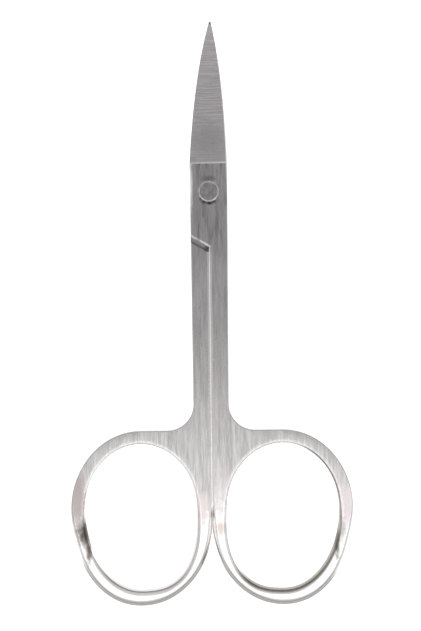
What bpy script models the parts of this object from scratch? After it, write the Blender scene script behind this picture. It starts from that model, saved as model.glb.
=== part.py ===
"""Small straight-bladed eyebrow scissors, closed, lying flat on one side.

Two stainless steel halves cross in a half-lap joint and turn on one flush rivet. Each half is a single
piece: a ground blade, a lap of half the thickness, a shank of full thickness and a finger ring. The back
half is made like the front half, turned half a turn about the long axis. Only its blade differs: both
blades are ground to one closed outline, which leans a little towards the front half's side at the tip.

Lengths are in metres. +X runs to the front half's finger ring, +Y to the tips, and +Z up out of the face
that shows. The origin lies on the rivet's axis, in the plane that the scissors rest on.
"""

import math
from collections import namedtuple

import bmesh
import bpy
from mathutils import Vector

MM = 0.001

# Bar: shanks and finger rings have its full thickness
THICKNESS = 2.6 * MM
LAP_GAP = 0.1 * MM  # between the inner faces of the two blades
SEAM_GAP = 0.06 * MM  # between the two closed shanks

# Closed blades: reaches are measured from the rivet, and each side is a curve drawn towards one bend
TIP_REACH = 27.6 * MM
TIP_RADIUS = 0.2 * MM
TIP_OFFSET = 0.5 * MM  # of the tip from the long axis, towards the front half's finger ring
HEEL_REACH = 4.42 * MM
HEEL_WIDTH = 6.14 * MM
BEND_SHARE = 0.62  # of the way from the heel to the tip
SPINE_BEND = 2.22 * MM  # half width at the bend on the front blade's spine side
EDGE_BEND = 2.62 * MM  # and on its cutting side

# Grinding of the blade: outer face, cutting bevel and hollow inner face
GRIND_STEP_SPINE = 0.1 * MM
GRIND_STEP_EDGE = 0.2 * MM
GRIND_RAMP = 0.32 * MM
GRIND_SKEW = 0.025  # rise of the line where the grinding starts, across the blade towards its cutting edge
TIP_THICKNESS = 0.55 * MM
BEVEL_WIDTH = 0.24 * MM
HOLLOW_DEPTH = 0.12 * MM
HOLLOW_WIDTH = 5.0 * MM
HOLLOW_START = 3.4 * MM
HOLLOW_RUN_IN = 2.5 * MM
HOLLOW_RUN_OUT = 0.03 * MM  # of its two ends, below the inner face

# Lap and shanks: both shanks together are as wide as the neck
LAP_REACH = 7.32 * MM
SHOULDER_ANGLE = math.radians(30.0)
SLOT_WIDTH = 0.7 * MM
NECK_WIDTH = 5.8 * MM
NECK_RADIUS = 4.25 * MM

# Finger ring: an egg-shaped opening, widest at its own reach, in a bar that gets thicker below
RING_REACH = 51.6 * MM
OPENING_WIDTH = 18.15 * MM
OPENING_ABOVE = 10.55 * MM
OPENING_BELOW = 12.95 * MM
INNER_FULLNESS = 2.6  # of the opening's lower quarter beside the seam: 2 is an ellipse, more is squarer
OUTER_FULLNESS = 2.1  # of the outside's lower quarter away from the seam
SEAM_BAR = 2.45 * MM
OUTER_BAR = 2.3 * MM
TOP_BAR = 2.25 * MM
BOTTOM_BAR = 2.75 * MM
SEAM_REACH = 54.1 * MM

# Edges: how far each breaks in from the outline and down from the flat
SPINE_BREAK = 0.12 * MM
SHANK_BREAK = 0.2 * MM
HEEL_CHAMFER = 0.24 * MM  # along the lap's spine side, from the heel to just past the rivet's axis
HEEL_CHAMFER_DROP = 0.11 * MM
HEEL_CHAMFER_END = 1.2 * MM
SEAM_CHAMFER = 0.34 * MM
SEAM_CHAMFER_DROP = 0.17 * MM
LAP_CHAMFER = 0.28 * MM  # of the lap's lower end
LAP_CHAMFER_DROP = 0.14 * MM
SHOULDER_CHAMFER = 0.15 * MM
OPENING_BREAK = 0.8 * MM  # a wide soft rounding, where a finger bears
OPENING_BREAK_DROP = 0.45 * MM
RING_CREST = 0.2 * MM  # flat left along the top of the rounded bar
SIDE_LAND = 0.06 * MM  # upright wall left at the middle of a rounded bar
ROUNDING_LEAD = 4.6 * MM  # how far before the seam's end the bar starts to turn round
ROUNDING_LENGTH = 8.0 * MM  # and over what length it does

# Rivet: flush at both ends, with a chamfered rim
RIVET_SHANK_RADIUS = 1.1 * MM
RIVET_HEAD_RADIUS = 1.7 * MM
RIVET_HEAD_DEPTH = 0.5 * MM
RIVET_RIM_WIDTH = 0.24 * MM
RIVET_RIM_DROP = 0.12 * MM
RIVET_CLEARANCE = 0.05 * MM
SEAT_CHAMFER = 0.06 * MM

# Fineness of the facets, and the angle from which an edge is shaded sharp
BLADE_STEPS = 18
QUADRANT_STEPS = 14
NECK_STEPS = 10
RIM_STEPS = 4
TIP_STEPS = 4
ROUND_STEPS = 48
HOLLOW_STEPS = 11
SHARP_ANGLE = math.radians(25.0)
MERGE_DISTANCE = 0.001 * MM

CUT_MARGIN = 1.0 * MM  # how far a cutter reaches past what it cuts

STEEL = (0.56, 0.55, 0.55, 1.0)
STEEL_ROUGHNESS = 0.32
RIVET_STEEL = (0.5, 0.49, 0.49, 1.0)
RIVET_ROUGHNESS = 0.34

MIDDLE = THICKNESS / 2
LAP_FACE = MIDDLE + LAP_GAP / 2
SEAM_X = SEAM_GAP / 2
ROUNDING_START = SEAM_REACH - ROUNDING_LEAD
ROUNDING_END = ROUNDING_START + ROUNDING_LENGTH
RING_X = SEAM_X + SEAM_BAR + OPENING_WIDTH / 2
FULL_DROP = MIDDLE - SIDE_LAND / 2
SIDE_ROUND = (min(SEAM_BAR, OUTER_BAR, BOTTOM_BAR) - RING_CREST) / 2
BOTTOM_ROUND = (BOTTOM_BAR - RING_CREST) / 2

# A rim is how an outline's edge is broken: inset, drop, and fullness 1 for a chamfer or 2 for a round
Rim = namedtuple("Rim", "inset drop fullness")
SPINE_RIM = Rim(SPINE_BREAK, SPINE_BREAK, 2.0)
SHANK_RIM = Rim(SHANK_BREAK, SHANK_BREAK, 2.0)
HEEL_RIM = Rim(HEEL_CHAMFER, HEEL_CHAMFER_DROP, 1.0)
SEAM_RIM = Rim(SEAM_CHAMFER, SEAM_CHAMFER_DROP, 1.0)
LAP_RIM = Rim(LAP_CHAMFER, LAP_CHAMFER_DROP, 1.0)
OPENING_RIM = Rim(OPENING_BREAK, OPENING_BREAK_DROP, 2.0)


def clear_scene():
    """Remove every object that the scene opened with."""
    for obj in list(bpy.data.objects):
        bpy.data.objects.remove(obj)


def mix(a, b, share):
    """The value that is this share of the way from a to b."""
    return a + (b - a) * share


def half_width(y):
    """Half the width of the closed scissors at y, along the straight edges from the neck to the heel."""
    top_of_ring = OPENING_ABOVE + TOP_BAR - RING_REACH
    neck_y = top_of_ring + NECK_RADIUS
    return mix(NECK_WIDTH, HEEL_WIDTH, (y - neck_y) / (HEEL_REACH - neck_y)) / 2


def blade_side(bend_width, tip_width):
    """Points (half width, y) up one side of the blades, on a curve drawn towards the bend."""
    heel = Vector((HEEL_WIDTH / 2, HEEL_REACH))
    tip = Vector((tip_width, TIP_REACH - TIP_RADIUS))
    bend = Vector((bend_width, mix(heel.y, tip.y, BEND_SHARE)))
    points = []
    for step in range(BLADE_STEPS + 1):
        share = step / BLADE_STEPS
        points.append(mix(mix(heel, bend, share), mix(bend, tip, share), share))
    return points


def quadrant(centre, semi_x, semi_y, start, end, steps=QUADRANT_STEPS, fullness=2.0):
    """Points on an ellipse from one angle to another, in degrees. More fullness makes it squarer."""
    points = []
    for step in range(steps + 1):
        angle = math.radians(mix(start, end, step / steps))
        x = math.copysign(abs(math.cos(angle)) ** (2 / fullness), math.cos(angle))
        y = math.copysign(abs(math.sin(angle)) ** (2 / fullness), math.sin(angle))
        points.append(centre + Vector((semi_x * x, semi_y * y)))
    return points


def clamp(share):
    """The share, kept from 0 to 1."""
    return min(max(share, 0.0), 1.0)


def ring_rim(rim, y):
    """The rim of a ring's edge at y: as given above, and round over half the bar's width below."""
    depth = clamp((-y - RING_REACH) / (OPENING_BELOW + BOTTOM_BAR))
    round_rim = Rim(mix(SIDE_ROUND, BOTTOM_ROUND, depth * depth), FULL_DROP, 2.0)
    share = clamp((-y - ROUNDING_START) / (ROUNDING_END - ROUNDING_START))
    share = share * share * (3 - 2 * share)
    return Rim(*(mix(a, b, share) for a, b in zip(rim, round_rim)))


def bevel_rim(y):
    """The rim of the cutting edge at y: its bevel gets narrower towards the tip."""
    width = mix(BEVEL_WIDTH, SPINE_BREAK, (y - HEEL_REACH) / (TIP_REACH - HEEL_REACH))
    return Rim(width, FULL_DROP, 1.0)


def half_outline(spine_bend, edge_bend, tip_x):
    """Stations (point, rim) round a half, anticlockwise from the tip: spine, lap, seam, ring, edge."""
    spine = blade_side(spine_bend, TIP_RADIUS - tip_x)
    edge = blade_side(edge_bend, TIP_RADIUS + tip_x)
    tip_centre = Vector((tip_x, TIP_REACH - TIP_RADIUS))
    ring_top = OPENING_ABOVE + TOP_BAR - RING_REACH
    ring_bottom = -RING_REACH - OPENING_BELOW - BOTTOM_BAR
    outer_semi = OPENING_WIDTH / 2 + OUTER_BAR
    widest = Vector((RING_X, -RING_REACH))
    seam_end = Vector((RING_X, -SEAM_REACH))
    lap_corner = Vector((-half_width(-LAP_REACH), -LAP_REACH))
    lap_fall = (SEAM_X - lap_corner.x) * math.tan(SHOULDER_ANGLE)
    seam_top = Vector((SEAM_X, lap_corner.y - lap_fall))
    neck_y = ring_top + NECK_RADIUS
    neck_x = half_width(neck_y)
    neck_centre = Vector((neck_x + NECK_RADIUS, neck_y))

    tip = quadrant(tip_centre, TIP_RADIUS, TIP_RADIUS, 90, 180, TIP_STEPS)
    stations = [(point, SPINE_RIM) for point in tip]
    stations += [(Vector((-p.x, p.y)), SPINE_RIM) for p in reversed(spine[1:-1])]
    stations.append((Vector((-half_width(HEEL_REACH), HEEL_REACH)), HEEL_RIM))
    stations.append((Vector((-half_width(0.0), 0.0)), HEEL_RIM))
    stations.append((Vector((-half_width(-HEEL_CHAMFER_END), -HEEL_CHAMFER_END)), SPINE_RIM))
    stations.append((lap_corner + Vector((0, LAP_CHAMFER)), SPINE_RIM))
    stations.append((lap_corner, LAP_RIM))
    stations.append((seam_top, SEAM_RIM))

    inner = []
    for step in range(1, QUADRANT_STEPS):
        y = mix(-ROUNDING_START, -SEAM_REACH, step / QUADRANT_STEPS)
        inner.append(Vector((SEAM_X, y)))
    inner += quadrant(seam_end, RING_X - SEAM_X, -SEAM_REACH - ring_bottom, 180, 270)
    stations += [(p, ring_rim(SEAM_RIM, p.y)) for p in inner]
    outer = quadrant(widest, outer_semi, -RING_REACH - ring_bottom, 270, 360, fullness=OUTER_FULLNESS)[1:]
    outer += quadrant(widest, outer_semi, ring_top + RING_REACH, 0, 90)[1:]
    stations += [(p, ring_rim(SHANK_RIM, p.y)) for p in outer]
    neck = quadrant(neck_centre, NECK_RADIUS, NECK_RADIUS, 270, 180, NECK_STEPS)
    stations += [(p, SHANK_RIM) for p in neck]
    stations.append((Vector((half_width(0.0), 0.0)), SHANK_RIM))

    rounded = quadrant(tip_centre, TIP_RADIUS, TIP_RADIUS, 0, 90, TIP_STEPS)
    stations += [(p, bevel_rim(p.y)) for p in edge + rounded[1:-1]]
    return stations


def opening_outline():
    """Stations (point, rim) round the finger opening, clockwise."""
    centre = Vector((RING_X, -RING_REACH))
    semi = OPENING_WIDTH / 2
    points = quadrant(centre, semi, OPENING_ABOVE, 180, 90)[:-1]
    points += quadrant(centre, semi, OPENING_ABOVE, 90, 0)[:-1]
    points += quadrant(centre, semi, OPENING_BELOW, 0, -90)[:-1]
    points += quadrant(centre, semi, OPENING_BELOW, -90, -180, fullness=INNER_FULLNESS)[:-1]
    return [(p, ring_rim(OPENING_RIM, p.y)) for p in points]


def inward(stations, index):
    """How far a point moves, and which way, for each metre that the outline's edges move into the steel."""
    before = stations[index - 1][0]
    here = stations[index][0]
    after = stations[(index + 1) % len(stations)][0]
    first = (here - before).normalized()
    second = (after - here).normalized()
    first_normal = Vector((-first.y, first.x))
    second_normal = Vector((-second.y, second.x))
    return (first_normal + second_normal) / (1 + first_normal.dot(second_normal))


def rim_column(bm, point, rim, direction):
    """Vertices from the upper flat, round the rim, down the side and round to the lower flat."""
    upper = []
    for step in range(RIM_STEPS + 1):
        turn = math.pi / 2 * step / RIM_STEPS
        inset = rim.inset * (1 - math.sin(turn) ** (2 / rim.fullness))
        drop = rim.drop * (1 - max(math.cos(turn), 0.0) ** (2 / rim.fullness))
        upper.append((point + direction * inset, drop))
    column = [bm.verts.new((p.x, p.y, THICKNESS - drop)) for p, drop in upper]
    column += [bm.verts.new((p.x, p.y, drop)) for p, drop in reversed(upper)]
    return column


def skin_loop(bm, stations):
    """Faces round one closed outline. Returns its edges on the upper and on the lower flat."""
    columns = []
    for index, (point, rim) in enumerate(stations):
        columns.append(rim_column(bm, point, rim, inward(stations, index)))
    upper_edges = []
    lower_edges = []
    for index, column in enumerate(columns):
        following = columns[(index + 1) % len(columns)]
        for row in range(len(column) - 1):
            bm.faces.new((column[row], column[row + 1], following[row + 1], following[row]))
        upper_edges.append(bm.edges.get((column[0], following[0])))
        lower_edges.append(bm.edges.get((column[-1], following[-1])))
    return upper_edges, lower_edges


def new_object(name, bm):
    """An object in the scene that holds this mesh, with its faces pointing out."""
    bmesh.ops.recalc_face_normals(bm, faces=bm.faces)
    mesh = bpy.data.meshes.new(name)
    bm.to_mesh(mesh)
    bm.free()
    obj = bpy.data.objects.new(name, mesh)
    bpy.context.scene.collection.objects.link(obj)
    return obj


def rimmed_plate(name, outline):
    """A whole half before its lap, blade and bore are cut: full thickness everywhere, with its rims."""
    bm = bmesh.new()
    upper, lower = skin_loop(bm, outline)
    upper_hole, lower_hole = skin_loop(bm, opening_outline())
    bmesh.ops.triangle_fill(bm, edges=upper + upper_hole, use_beauty=True)
    bmesh.ops.triangle_fill(bm, edges=lower + lower_hole, use_beauty=True)
    return new_object(name, bm)


def loft(name, sections):
    """A closed solid through sections that each have as many points."""
    bm = bmesh.new()
    rings = [[bm.verts.new(point) for point in section] for section in sections]
    for ring, following in zip(rings, rings[1:]):
        for index, vertex in enumerate(ring):
            after = (index + 1) % len(ring)
            bm.faces.new((vertex, ring[after], following[after], following[index]))
    bm.faces.new(rings[0])
    bm.faces.new(rings[-1])
    bm.normal_update()
    bmesh.ops.triangulate(bm, faces=bm.faces)
    return new_object(name, bm)


def lathe(name, profile):
    """A solid turned about the Z axis from points (radius, z) that start and end on the axis."""
    bm = bmesh.new()
    vertices = [bm.verts.new((radius, 0.0, z)) for radius, z in profile]
    edges = [bm.edges.new(pair) for pair in zip(vertices, vertices[1:])]
    bmesh.ops.spin(
        bm,
        geom=vertices + edges,
        cent=(0, 0, 0),
        axis=(0, 0, 1),
        angle=math.tau,
        steps=ROUND_STEPS,
        use_merge=True,
    )
    bmesh.ops.remove_doubles(bm, verts=bm.verts, dist=MERGE_DISTANCE)
    return new_object(name, bm)


def lap_cutter():
    """Clears the lower half of the bar from the shoulder to past the tip, and chamfers the shoulder."""
    corner = Vector((half_width(-LAP_REACH), LAP_REACH))
    corner_distance = corner.x * math.sin(SHOULDER_ANGLE) + corner.y * math.cos(SHOULDER_ANGLE)
    shoulder_distance = corner_distance + SLOT_WIDTH
    along = Vector((math.cos(SHOULDER_ANGLE), math.sin(SHOULDER_ANGLE), 0))
    towards_tip = Vector((-math.sin(SHOULDER_ANGLE), math.cos(SHOULDER_ANGLE), 0))
    far = shoulder_distance + TIP_REACH + CUT_MARGIN
    deep = SHOULDER_CHAMFER + CUT_MARGIN
    profile = [
        (0, LAP_FACE),
        (0, SHOULDER_CHAMFER),
        (-deep, -CUT_MARGIN),
        (far, -CUT_MARGIN),
        (far, LAP_FACE),
    ]
    sections = []
    for reach in (-far, far):
        base = along * reach - towards_tip * shoulder_distance
        sections.append([base + towards_tip * u + Vector((0, 0, z)) for u, z in profile])
    return loft("lap_cutter", sections)


def grind_cutter():
    """Grinds the blade's outer face: a short ramp at the heel, then a plane that thins it to the tip."""
    ramp_end = HEEL_REACH + GRIND_RAMP
    far = TIP_REACH + CUT_MARGIN
    side = HEEL_WIDTH / 2 + CUT_MARGIN
    roll = (GRIND_STEP_EDGE - GRIND_STEP_SPINE) / HEEL_WIDTH
    middle_step = (GRIND_STEP_EDGE + GRIND_STEP_SPINE) / 2
    tip_fall = THICKNESS - LAP_FACE - TIP_THICKNESS - middle_step
    slope = tip_fall / (TIP_REACH - ramp_end)
    sections = []
    for x in (-side, side):
        step = middle_step + roll * x
        rise = CUT_MARGIN * GRIND_RAMP / step
        skew = GRIND_SKEW * x
        section = [
            (HEEL_REACH + skew - rise, THICKNESS + CUT_MARGIN),
            (ramp_end + skew, THICKNESS - step - slope * skew),
            (far, THICKNESS - step - slope * (far - ramp_end)),
            (far, THICKNESS + CUT_MARGIN),
        ]
        sections.append([Vector((x, y, z)) for y, z in section])
    return loft("grind_cutter", sections)


def hollow_cutter():
    """Hollows the blade's inner face, running in after the rivet and out at the tip."""
    chord = HOLLOW_WIDTH / 2
    radius = (chord * chord + HOLLOW_DEPTH * HOLLOW_DEPTH) / (2 * HOLLOW_DEPTH)
    spread = math.asin((HEEL_WIDTH / 2 + CUT_MARGIN) / radius)
    stops = (
        (HOLLOW_START, -HOLLOW_RUN_OUT),
        (HOLLOW_START + HOLLOW_RUN_IN, HOLLOW_DEPTH),
        (TIP_REACH, -HOLLOW_RUN_OUT),
    )
    sections = []
    for y, depth in stops:
        centre_z = LAP_FACE + depth - radius
        section = []
        for step in range(HOLLOW_STEPS + 1):
            angle = mix(-spread, spread, step / HOLLOW_STEPS)
            section.append(Vector((radius * math.sin(angle), y, centre_z + radius * math.cos(angle))))
        foot = section[0].z - CUT_MARGIN
        section.append(Vector((section[-1].x, y, foot)))
        section.append(Vector((section[0].x, y, foot)))
        sections.append(section)
    return loft("hollow_cutter", sections)


def bore_cutter():
    """Bores the lap for the rivet's shank and sinks a chamfered seat for its head."""
    bore = RIVET_SHANK_RADIUS + RIVET_CLEARANCE
    seat = RIVET_HEAD_RADIUS + RIVET_CLEARANCE
    floor = THICKNESS - RIVET_HEAD_DEPTH - RIVET_CLEARANCE
    profile = [
        (0, MIDDLE - CUT_MARGIN),
        (bore, MIDDLE - CUT_MARGIN),
        (bore, floor),
        (seat, floor),
        (seat, THICKNESS - SEAT_CHAMFER),
        (seat + SEAT_CHAMFER + CUT_MARGIN, THICKNESS + CUT_MARGIN),
        (0, THICKNESS + CUT_MARGIN),
    ]
    return lathe("bore_cutter", profile)


def carve(body, cutters):
    """Cut each cutter out of the body, keep the result as its mesh and remove the cutters."""
    for cutter in cutters:
        cut = body.modifiers.new(cutter.name, "BOOLEAN")
        cut.operation = "DIFFERENCE"
        cut.solver = "EXACT"
        cut.object = cutter
    graph = bpy.context.evaluated_depsgraph_get()
    carved = bpy.data.meshes.new_from_object(body.evaluated_get(graph))
    carved.name = body.name
    body.modifiers.clear()
    body.data = carved
    for cutter in cutters:
        bpy.data.objects.remove(cutter)


def steel(name, colour, roughness):
    """A metal material."""
    material = bpy.data.materials.new(name)
    material.use_nodes = True
    shader = material.node_tree.nodes["Principled BSDF"]
    shader.inputs["Base Color"].default_value = colour
    shader.inputs["Metallic"].default_value = 1.0
    shader.inputs["Roughness"].default_value = roughness
    return material


def finish(obj, material):
    """Give the object its material, and shade its rounds smooth and its edges sharp."""
    obj.data.materials.clear()
    obj.data.materials.append(material)
    obj.data.shade_smooth()
    obj.data.set_sharp_from_angle(angle=SHARP_ANGLE)


def make_rivet():
    """The rivet, closed over at both ends and ground flush with both faces."""
    flat = RIVET_HEAD_RADIUS - RIVET_RIM_WIDTH
    lower = [
        (0, 0),
        (flat, 0),
        (RIVET_HEAD_RADIUS, RIVET_RIM_DROP),
        (RIVET_HEAD_RADIUS, RIVET_HEAD_DEPTH),
        (RIVET_SHANK_RADIUS, RIVET_HEAD_DEPTH),
    ]
    upper = [(radius, THICKNESS - z) for radius, z in reversed(lower)]
    rivet = lathe("pivot_rivet", lower + upper)
    finish(rivet, steel("rivet_steel", RIVET_STEEL, RIVET_ROUGHNESS))
    return rivet


def make_half(name, outline):
    """One half, lying as the front half does."""
    half = rimmed_plate(name, outline)
    carve(half, [lap_cutter(), grind_cutter(), hollow_cutter(), bore_cutter()])
    finish(half, steel(name + "_steel", STEEL, STEEL_ROUGHNESS))
    return half


def turn_over(obj):
    """Turn a piece half a turn about the long axis, so that its two faces change places."""
    for vertex in obj.data.vertices:
        vertex.co = Vector((-vertex.co.x, vertex.co.y, THICKNESS - vertex.co.z))


def main():
    clear_scene()
    make_half("front_half", half_outline(SPINE_BEND, EDGE_BEND, TIP_OFFSET))
    back = make_half("back_half", half_outline(EDGE_BEND, SPINE_BEND, -TIP_OFFSET))
    turn_over(back)
    make_rivet()


main()
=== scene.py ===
"""Looks of the eyebrow scissors: brushed and polished steel under soft studio light.

Each half and the rivet is a finer mesh of the CAD node that it stands for, made from the same sizes, with
its own finish on each surface: lengthwise brushing on lap and shanks, crosswise grinding on the blades,
bright chamfers, and finger rings that turn from brushed to polished as they get round. Stains lie on the
rings and dirt at the tip. Painted shade darkens the rings' outer bars and steep sides, the groove round the
rivet, the slot, the blade's lower part and the gap where the rings part, and a painted highlight runs along
the lap's left edge.

Lengths are in metres. +X runs to the front half's finger ring, +Y to the tips and +Z up.
"""

import math
from collections import namedtuple

import bmesh
import bpy
from mathutils import Matrix, Vector


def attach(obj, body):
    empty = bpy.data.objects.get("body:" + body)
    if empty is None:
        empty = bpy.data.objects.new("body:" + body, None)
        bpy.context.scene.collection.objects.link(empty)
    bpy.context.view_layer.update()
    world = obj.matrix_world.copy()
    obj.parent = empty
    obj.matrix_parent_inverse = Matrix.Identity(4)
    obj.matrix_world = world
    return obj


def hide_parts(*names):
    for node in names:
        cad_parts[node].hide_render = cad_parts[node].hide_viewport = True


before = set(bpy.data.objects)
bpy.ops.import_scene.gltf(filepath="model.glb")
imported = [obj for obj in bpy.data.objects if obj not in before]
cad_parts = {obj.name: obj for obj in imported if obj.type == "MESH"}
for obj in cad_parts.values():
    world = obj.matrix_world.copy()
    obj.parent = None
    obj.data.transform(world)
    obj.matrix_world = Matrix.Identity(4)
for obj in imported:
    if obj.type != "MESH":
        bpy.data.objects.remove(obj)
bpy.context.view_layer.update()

MM = 0.001

# Bar: shanks and finger rings have its full thickness
THICKNESS = 2.6 * MM
LAP_GAP = 0.1 * MM  # between the inner faces of the two blades
SEAM_GAP = 0.06 * MM  # between the two closed shanks

# Closed blades: reaches are measured from the rivet, and each side is a curve drawn towards one bend
TIP_REACH = 27.6 * MM
TIP_RADIUS = 0.2 * MM
TIP_OFFSET = 0.5 * MM  # of the tip from the long axis, towards the front half's finger ring
HEEL_REACH = 4.42 * MM
HEEL_WIDTH = 6.14 * MM
BEND_SHARE = 0.62  # of the way from the heel to the tip
SPINE_BEND = 2.22 * MM  # half width at the bend on the front blade's spine side
EDGE_BEND = 2.62 * MM  # and on its cutting side

# Grinding of the blade: outer face, cutting bevel and hollow inner face
GRIND_STEP_SPINE = 0.1 * MM
GRIND_STEP_EDGE = 0.2 * MM
GRIND_RAMP = 0.32 * MM
GRIND_SKEW = 0.025  # rise of the line where the grinding starts, across the blade towards its cutting edge
TIP_THICKNESS = 0.55 * MM
BEVEL_WIDTH = 0.24 * MM
HOLLOW_DEPTH = 0.12 * MM
HOLLOW_WIDTH = 5.0 * MM
HOLLOW_START = 3.4 * MM
HOLLOW_RUN_IN = 2.5 * MM
HOLLOW_RUN_OUT = 0.03 * MM  # of its two ends, below the inner face

# Lap and shanks: both shanks together are as wide as the neck
LAP_REACH = 7.32 * MM
SHOULDER_ANGLE = math.radians(30.0)
SLOT_WIDTH = 0.7 * MM
NECK_WIDTH = 5.8 * MM
NECK_RADIUS = 4.25 * MM

# Finger ring: an egg-shaped opening, widest at its own reach, in a bar that gets thicker below
RING_REACH = 51.6 * MM
OPENING_WIDTH = 18.15 * MM
OPENING_ABOVE = 10.55 * MM
OPENING_BELOW = 12.95 * MM
INNER_FULLNESS = 2.6  # of the opening's lower quarter beside the seam: 2 is an ellipse, more is squarer
OUTER_FULLNESS = 2.1  # of the outside's lower quarter away from the seam
SEAM_BAR = 2.45 * MM
OUTER_BAR = 2.3 * MM
TOP_BAR = 2.25 * MM
BOTTOM_BAR = 2.75 * MM
SEAM_REACH = 54.1 * MM

# Edges: how far each breaks in from the outline and down from the flat
SPINE_BREAK = 0.12 * MM
SHANK_BREAK = 0.2 * MM
HEEL_CHAMFER = 0.24 * MM  # along the lap's spine side, from the heel to just past the rivet's axis
HEEL_CHAMFER_DROP = 0.11 * MM
HEEL_CHAMFER_END = 1.2 * MM
SEAM_CHAMFER = 0.34 * MM
SEAM_CHAMFER_DROP = 0.17 * MM
LAP_CHAMFER = 0.28 * MM  # of the lap's lower end
LAP_CHAMFER_DROP = 0.14 * MM
SHOULDER_CHAMFER = 0.15 * MM
OPENING_BREAK = 0.8 * MM  # a wide soft rounding, where a finger bears
OPENING_BREAK_DROP = 0.45 * MM
RING_CREST = 0.2 * MM  # flat left along the top of the rounded bar
SIDE_LAND = 0.06 * MM  # upright wall left at the middle of a rounded bar
ROUNDING_LEAD = 4.6 * MM  # how far before the seam's end the bar starts to turn round
ROUNDING_LENGTH = 8.0 * MM  # and over what length it does

# Rivet: flush at both ends, with a chamfered rim
RIVET_SHANK_RADIUS = 1.1 * MM
RIVET_HEAD_RADIUS = 1.7 * MM
RIVET_HEAD_DEPTH = 0.5 * MM
RIVET_RIM_WIDTH = 0.24 * MM
RIVET_RIM_DROP = 0.12 * MM
RIVET_CLEARANCE = 0.05 * MM
SEAT_CHAMFER = 0.06 * MM

# Fineness of the facets, and the angle from which an edge is shaded sharp
BLADE_STEPS = 40
QUADRANT_STEPS = 40
NECK_STEPS = 20
RIM_STEPS = 8
TIP_STEPS = 8
ROUND_STEPS = 96
HOLLOW_STEPS = 31
SHARP_ANGLE = math.radians(20.0)
MERGE_DISTANCE = 0.001 * MM

CUT_MARGIN = 1.0 * MM  # how far a cutter reaches past what it cuts

MIDDLE = THICKNESS / 2
LAP_FACE = MIDDLE + LAP_GAP / 2
SEAM_X = SEAM_GAP / 2
ROUNDING_START = SEAM_REACH - ROUNDING_LEAD
ROUNDING_END = ROUNDING_START + ROUNDING_LENGTH
RING_X = SEAM_X + SEAM_BAR + OPENING_WIDTH / 2
FULL_DROP = MIDDLE - SIDE_LAND / 2
SIDE_ROUND = (min(SEAM_BAR, OUTER_BAR, BOTTOM_BAR) - RING_CREST) / 2
BOTTOM_ROUND = (BOTTOM_BAR - RING_CREST) / 2

# A rim is how an outline's edge is broken: inset, drop, and fullness 1 for a chamfer or 2 for a round
Rim = namedtuple("Rim", "inset drop fullness")
SPINE_RIM = Rim(SPINE_BREAK, SPINE_BREAK, 2.0)
SHANK_RIM = Rim(SHANK_BREAK, SHANK_BREAK, 2.0)
HEEL_RIM = Rim(HEEL_CHAMFER, HEEL_CHAMFER_DROP, 1.0)
SEAM_RIM = Rim(SEAM_CHAMFER, SEAM_CHAMFER_DROP, 1.0)
LAP_RIM = Rim(LAP_CHAMFER, LAP_CHAMFER_DROP, 1.0)
OPENING_RIM = Rim(OPENING_BREAK, OPENING_BREAK_DROP, 2.0)
ROUND_FULLNESS = 1.5  # a rim with more than this counts as round

# The outside of a half has these finishes in this order, and its two flats have the first
SKIN = ("flat", "edge", "bar", "chamfer", "side")
EDGE = SKIN.index("edge")
BAR = SKIN.index("bar")
CHAMFER = SKIN.index("chamfer")
SIDE = SKIN.index("side")
STEEP_ROW = 4  # the first row of a round rim, counted from the flat, that belongs to the side
UPRIGHT = 0.99  # a face of the rivet belongs to its rim where its normal is less upright than this

# Brushing of a surface: the steel's own colour and its roughness, the marks' grain, X or Y, their length and
# width, how much darker than the steel the darkest are, and how deep
Brushing = namedtuple("Brushing", "tone roughness grain length width contrast depth")
FLAT_BRUSHING = Brushing((0.65, 0.625, 0.63), 0.3, "Y", 7.0 * MM, 0.5 * MM, 0.36, 0.006 * MM)
EDGE_BRUSHING = Brushing((0.58, 0.56, 0.565), 0.3, "Y", 4.0 * MM, 0.2 * MM, 0.15, 0.002 * MM)
CHAMFER_BRUSHING = Brushing((0.62, 0.6, 0.605), 0.3, "Y", 4.0 * MM, 0.2 * MM, 0.15, 0.002 * MM)
SIDE_BRUSHING = Brushing((0.58, 0.56, 0.565), 0.35, "Y", 4.0 * MM, 0.4 * MM, 0.3, 0.003 * MM)
BLADE_GRINDING = Brushing((0.75, 0.712, 0.723), 0.3, "X", 4.0 * MM, 0.2 * MM, 0.42, 0.005 * MM)
INNER_GRINDING = Brushing((0.62, 0.59, 0.6), 0.24, "X", 3.0 * MM, 0.12 * MM, 0.14, 0.002 * MM)
RIVET_BRUSHING = Brushing((0.56, 0.535, 0.54), 0.3, "Y", 0.9 * MM, 0.35 * MM, 0.5, 0.006 * MM)
RIVET_RIM_BRUSHING = Brushing((0.68, 0.65, 0.655), 0.35, "X", 0.5 * MM, 0.5 * MM, 0.4, 0.003 * MM)

# Marks and patches: a pair named NOISE is the range of the noise over which a thing comes in, and a value
# named LIGHT is the share of the steel's own light that is left
MARK_NOISE = (0.3, 0.7)
MARK_HARSHNESS = 0.6  # the weight of the noise's finer layers
FINER = 3  # how many times shorter and narrower the fine marks are than the coarse ones
FINE_SHARE = 0.4
ROUGHNESS_SPREAD = 0.15
PATCH_SIZE = 3.0 * MM
PATCH_NOISE = (0.4, 0.75)
PATCH_SHARE = 0.3
PATCH_LIGHT = 0.86

# A slope finish is another tone on what leaves the flat: none up to the one angle and all from the other
Slope = namedtuple("Slope", "tone start end")
HEEL_RAMP = Slope((0.98, 0.95, 0.96), math.radians(6.0), math.radians(14.0))
BUFFED = Slope((0.95, 0.93, 0.93), math.radians(3.0), math.radians(32.0))
SLOPE_STRENGTH = 0.2  # what is left of the marks' height there

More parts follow.
